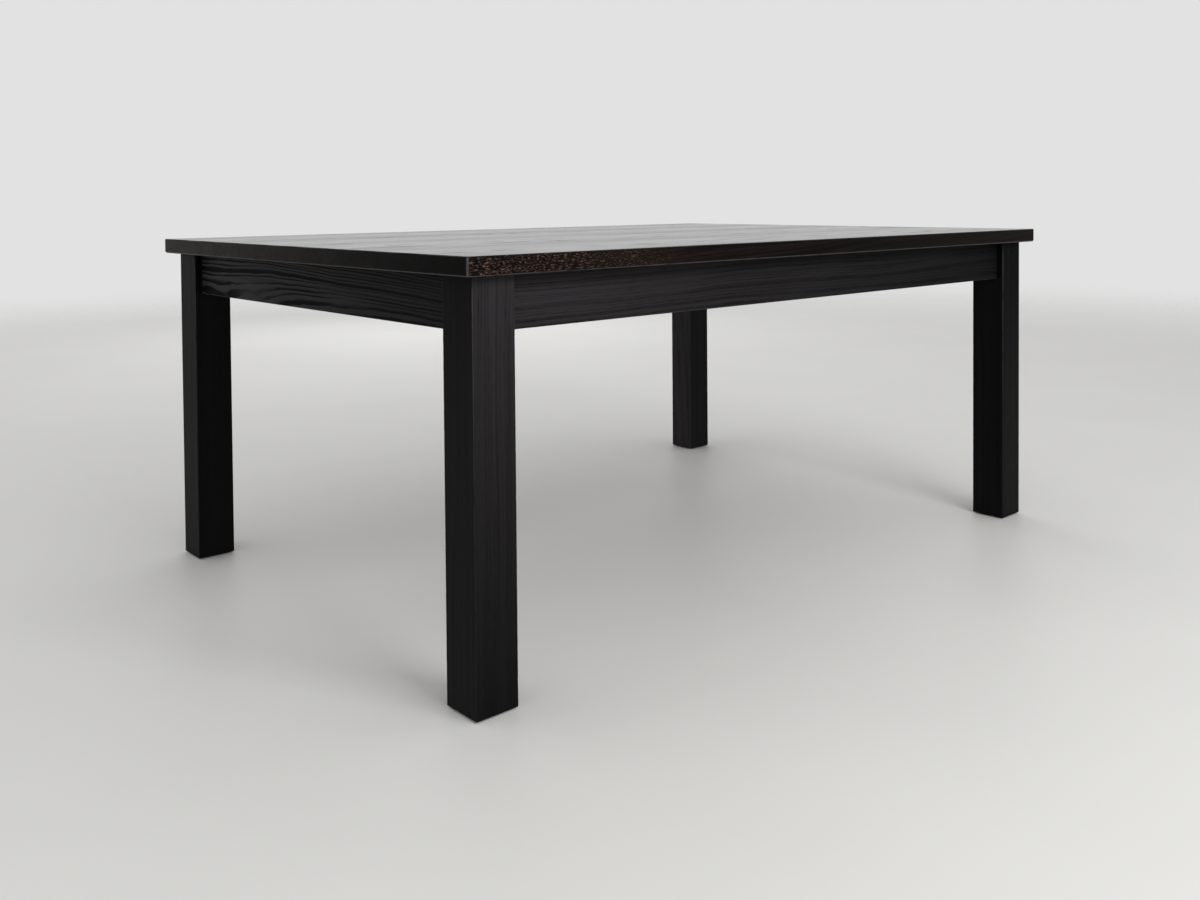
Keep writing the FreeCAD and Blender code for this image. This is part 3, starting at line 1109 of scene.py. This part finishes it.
@dataclass
class Studio:
    """A pale floor under soft light.

    Attributes:
        floor_reach: How far the floor goes from the middle.
        floor_clear: How far it is seen before it melts into the room.
        floor_paint: Its paint, faintly mottled.
        backdrop: The brightness of the room round it.
        card_height: The height of the dark cards.
        card_fade: How far in from its sides a card thins out.
    """

    floor_reach: float = 9.0
    floor_clear: float = 4.0
    floor_paint: Mottled = Mottled(
        dark=(0.66445, 0.6596, 0.6402),
        light=(0.685, 0.68, 0.66),
        gloss=(0.42, 0.5),
        cells=(2.0, 2.0, 2.0),
    )
    backdrop: float = 0.76
    card_height: float = 1.5
    card_fade: float = 0.5

    def build(self) -> None:
        """Set the floor, the room, the lamps and the cards."""
        self.floor()
        self.room()
        self.lamp("key_light", place=(-0.3, -3.4, 2.3), aim=(-0.5, -0.5, 0.5), size=(1.8, 1.2), power=62.0)
        self.lamp("back_light", place=(2.4, 4.4, 2.0), aim=(0.3, 0.2, 0.2), size=(2.8, 2.0), power=34.0)
        self.lamp("side_light", place=(-4.2, 1.8, 1.6), aim=(-0.6, 0.4, 0.1), size=(2.4, 1.6), power=8.0)
        self.card("left_card", start=(-3.1, -1.6), end=(-2.35, 2.9))
        self.card("right_card", start=(3.9, -0.9), end=(1.9, -2.4))
        bpy.context.scene.view_settings.view_transform = "Standard"

    def sheet_of(self, name: str, corners: list[Triple]) -> bpy.types.Object:
        """Add a flat sheet to the stage.

        Args:
            name: Its name.
            corners: Its four corners.

        Returns:
            The sheet.
        """
        mesh = bpy.data.meshes.new(name)
        mesh.from_pydata(corners, [], [(0, 1, 2, 3)])
        piece = bpy.data.objects.new(name, mesh)
        bpy.context.scene.collection.objects.link(piece)
        return piece

    def floor(self) -> None:
        """Lay the floor, and let its far part melt into the room."""
        reach = self.floor_reach
        corners = [(-reach, -reach, 0.0), (reach, -reach, 0.0), (reach, reach, 0.0), (-reach, reach, 0.0)]
        piece = self.sheet_of("floor", corners)
        sheet = NodeSheet("pale_floor")
        distance = sheet.vector("LENGTH", sheet.place)
        shown = sheet.step(distance, reach, self.floor_clear)
        paint = self.floor_paint.inputs(sheet)
        piece.data.materials.append(sheet.surface(**paint, Specular_IOR_Level=0.3, Alpha=shown))

    def room(self) -> None:
        """Surround the table with one even pale light."""
        world = bpy.data.worlds.new("pale_room")
        world.use_nodes = True
        background = world.node_tree.nodes["Background"]
        background.inputs["Color"].default_value = (1.0, 1.0, 1.0, 1.0)
        background.inputs["Strength"].default_value = self.backdrop
        bpy.context.scene.world = world

    def card(self, name: str, start: Pair, end: Pair) -> None:
        """Stand a dark gauze on the floor that only reflections see, to keep shine off the wood.

        It thins out towards all its sides, so that no hard line shows in the shine.

        Args:
            name: Its name.
            start: One end of its foot.
            end: The other end.
        """
        top = self.card_height
        piece = self.sheet_of(name, [(*start, 0.0), (*end, 0.0), (*end, top), (*start, top)])
        piece.visible_camera = False
        piece.visible_diffuse = False
        piece.visible_shadow = False
        sheet = NodeSheet(f"cloth_of_{name}")
        weave = sheet.noise(cells=(300.0, 300.0, 300.0), detail=1.0)
        colour = sheet.ramp(weave, [(0.3, (0.02, 0.02, 0.02)), (0.7, (0.03, 0.03, 0.03))])
        height = sheet.vector("DOT_PRODUCT", sheet.place, (0.0, 0.0, 1.0))
        from_top = sheet.step(height, top, top - self.card_fade)
        cover = sheet.math("MULTIPLY", from_top, sheet.step(height, 0.0, self.card_fade))
        across = sheet.vector("MULTIPLY", sheet.place, (1.0, 1.0, 0.0))
        for corner in (start, end):
            distance = sheet.vector("DISTANCE", across, (*corner, 0.0))
            cover = sheet.math("MULTIPLY", cover, sheet.step(distance, 0.0, self.card_fade))
        piece.data.materials.append(
            sheet.surface(Base_Color=colour, Roughness=0.9, Specular_IOR_Level=0.1, Alpha=cover)
        )

    def lamp(self, name: str, place: Triple, aim: Triple, size: Pair, power: float) -> None:
        """Hang a soft oblong lamp, which lights the wood but isn't mirrored in it.

        Args:
            name: Its name.
            place: Where it hangs.
            aim: The point that it faces.
            size: Its width and height.
            power: Its power in watts.
        """
        light = bpy.data.lights.new(name, "AREA")
        light.shape = "RECTANGLE"
        light.size, light.size_y = size
        light.energy = power
        lamp = bpy.data.objects.new(name, light)
        lamp.location = place
        lamp.visible_glossy = False
        lamp.rotation_mode = "QUATERNION"
        lamp.rotation_quaternion = (Vector(aim) - Vector(place)).to_track_quat("-Z", "Y")
        bpy.context.scene.collection.objects.link(lamp)


@dataclass(frozen=True)
class PhotoCamera:
    """The camera at the photograph's place.

    Attributes:
        place: Where it stands.
        heading: The direction that it looks in, in degrees from +Y towards +X.
        pitch: How far it looks up, in degrees.
        roll: How far it is turned about its axis, in degrees.
        focal_pixels: Its focal length in pixels of the picture.
        axis_row: The row of the picture that its axis meets.
        picture: The picture's width and height in pixels.
        sensor: Its sensor's width in millimetres.
    """

    place: Triple = (-1.8922, -2.0450, 0.8381)
    heading: float = 41.747
    pitch: float = -1.413
    roll: float = -0.447
    focal_pixels: float = 1114.5
    axis_row: float = 226.0
    picture: Pair = (1200.0, 900.0)
    sensor: float = 36.0

    def build(self) -> None:
        """Make the camera the scene's own: rolled about its axis, pitched, then turned to its heading."""
        width, height = self.picture
        data = bpy.data.cameras.new("photo_camera")
        data.sensor_width = self.sensor
        data.lens = self.focal_pixels / width * self.sensor
        data.shift_y = (self.axis_row - height / 2) / width
        camera = bpy.data.objects.new("photo_camera", data)
        pitched = Matrix.Rotation(math.radians(90 + self.pitch), 4, "X")
        headed = Matrix.Rotation(math.radians(-self.heading), 4, "Z")
        rolled = Matrix.Rotation(math.radians(self.roll), 4, "Z")
        camera.matrix_world = Matrix.Translation(self.place) @ headed @ pitched @ rolled
        bpy.context.scene.collection.objects.link(camera)
        bpy.context.scene.camera = camera


def main() -> None:
    """Build the table's pieces, then the studio and the camera."""
    logging.basicConfig(level=logging.INFO, format="%(name)s: %(message)s")
    satin_oak = BlackOak(gloss=(0.12, 0.28), specular=0.6, relief=0.04)
    oiled_oak = BlackOak(specular=0.04)
    figured_oak = replace(oiled_oak, bend=0.036, ring_spacing=0.0062)
    brown_oak = BlackOak(
        specular=0.05,
        summer=(0.0135, 0.0106, 0.0094),
        spring=(0.0036, 0.0030, 0.0027),
        # Its worn colour is mostly a painted reflection of the floor's light on the lower bevel, with some
        # wear.
        worn=(0.080, 0.074, 0.074),
    )
    zinc_steel = Mottled(
        dark=(0.44, 0.46, 0.49),
        light=(0.64, 0.66, 0.68),
        gloss=(0.30, 0.48),
        cells=(420.0, 420.0, 420.0),
        relief=(0.0001, 0.25),
        metallic=1.0,
    )
    grey_felt = Mottled(
        dark=(0.05, 0.05, 0.052),
        light=(0.16, 0.16, 0.165),
        gloss=(0.88, 1.0),
        cells=(1500.0, 1500.0, 900.0),
        detail=4.0,
        limits=(0.35, 0.65),
        relief=(0.0006, 0.6),
    )
    TableTop(satin_oak, brown_oak).build()
    LegSet(oiled_oak).build()
    ApronFrame(oiled_oak, figured_oak).build()
    HiddenJoinery(FrameHardwood(), zinc_steel, grey_felt).dress()
    Studio().build()
    PhotoCamera().build()


if __name__ == "__main__":
    main()
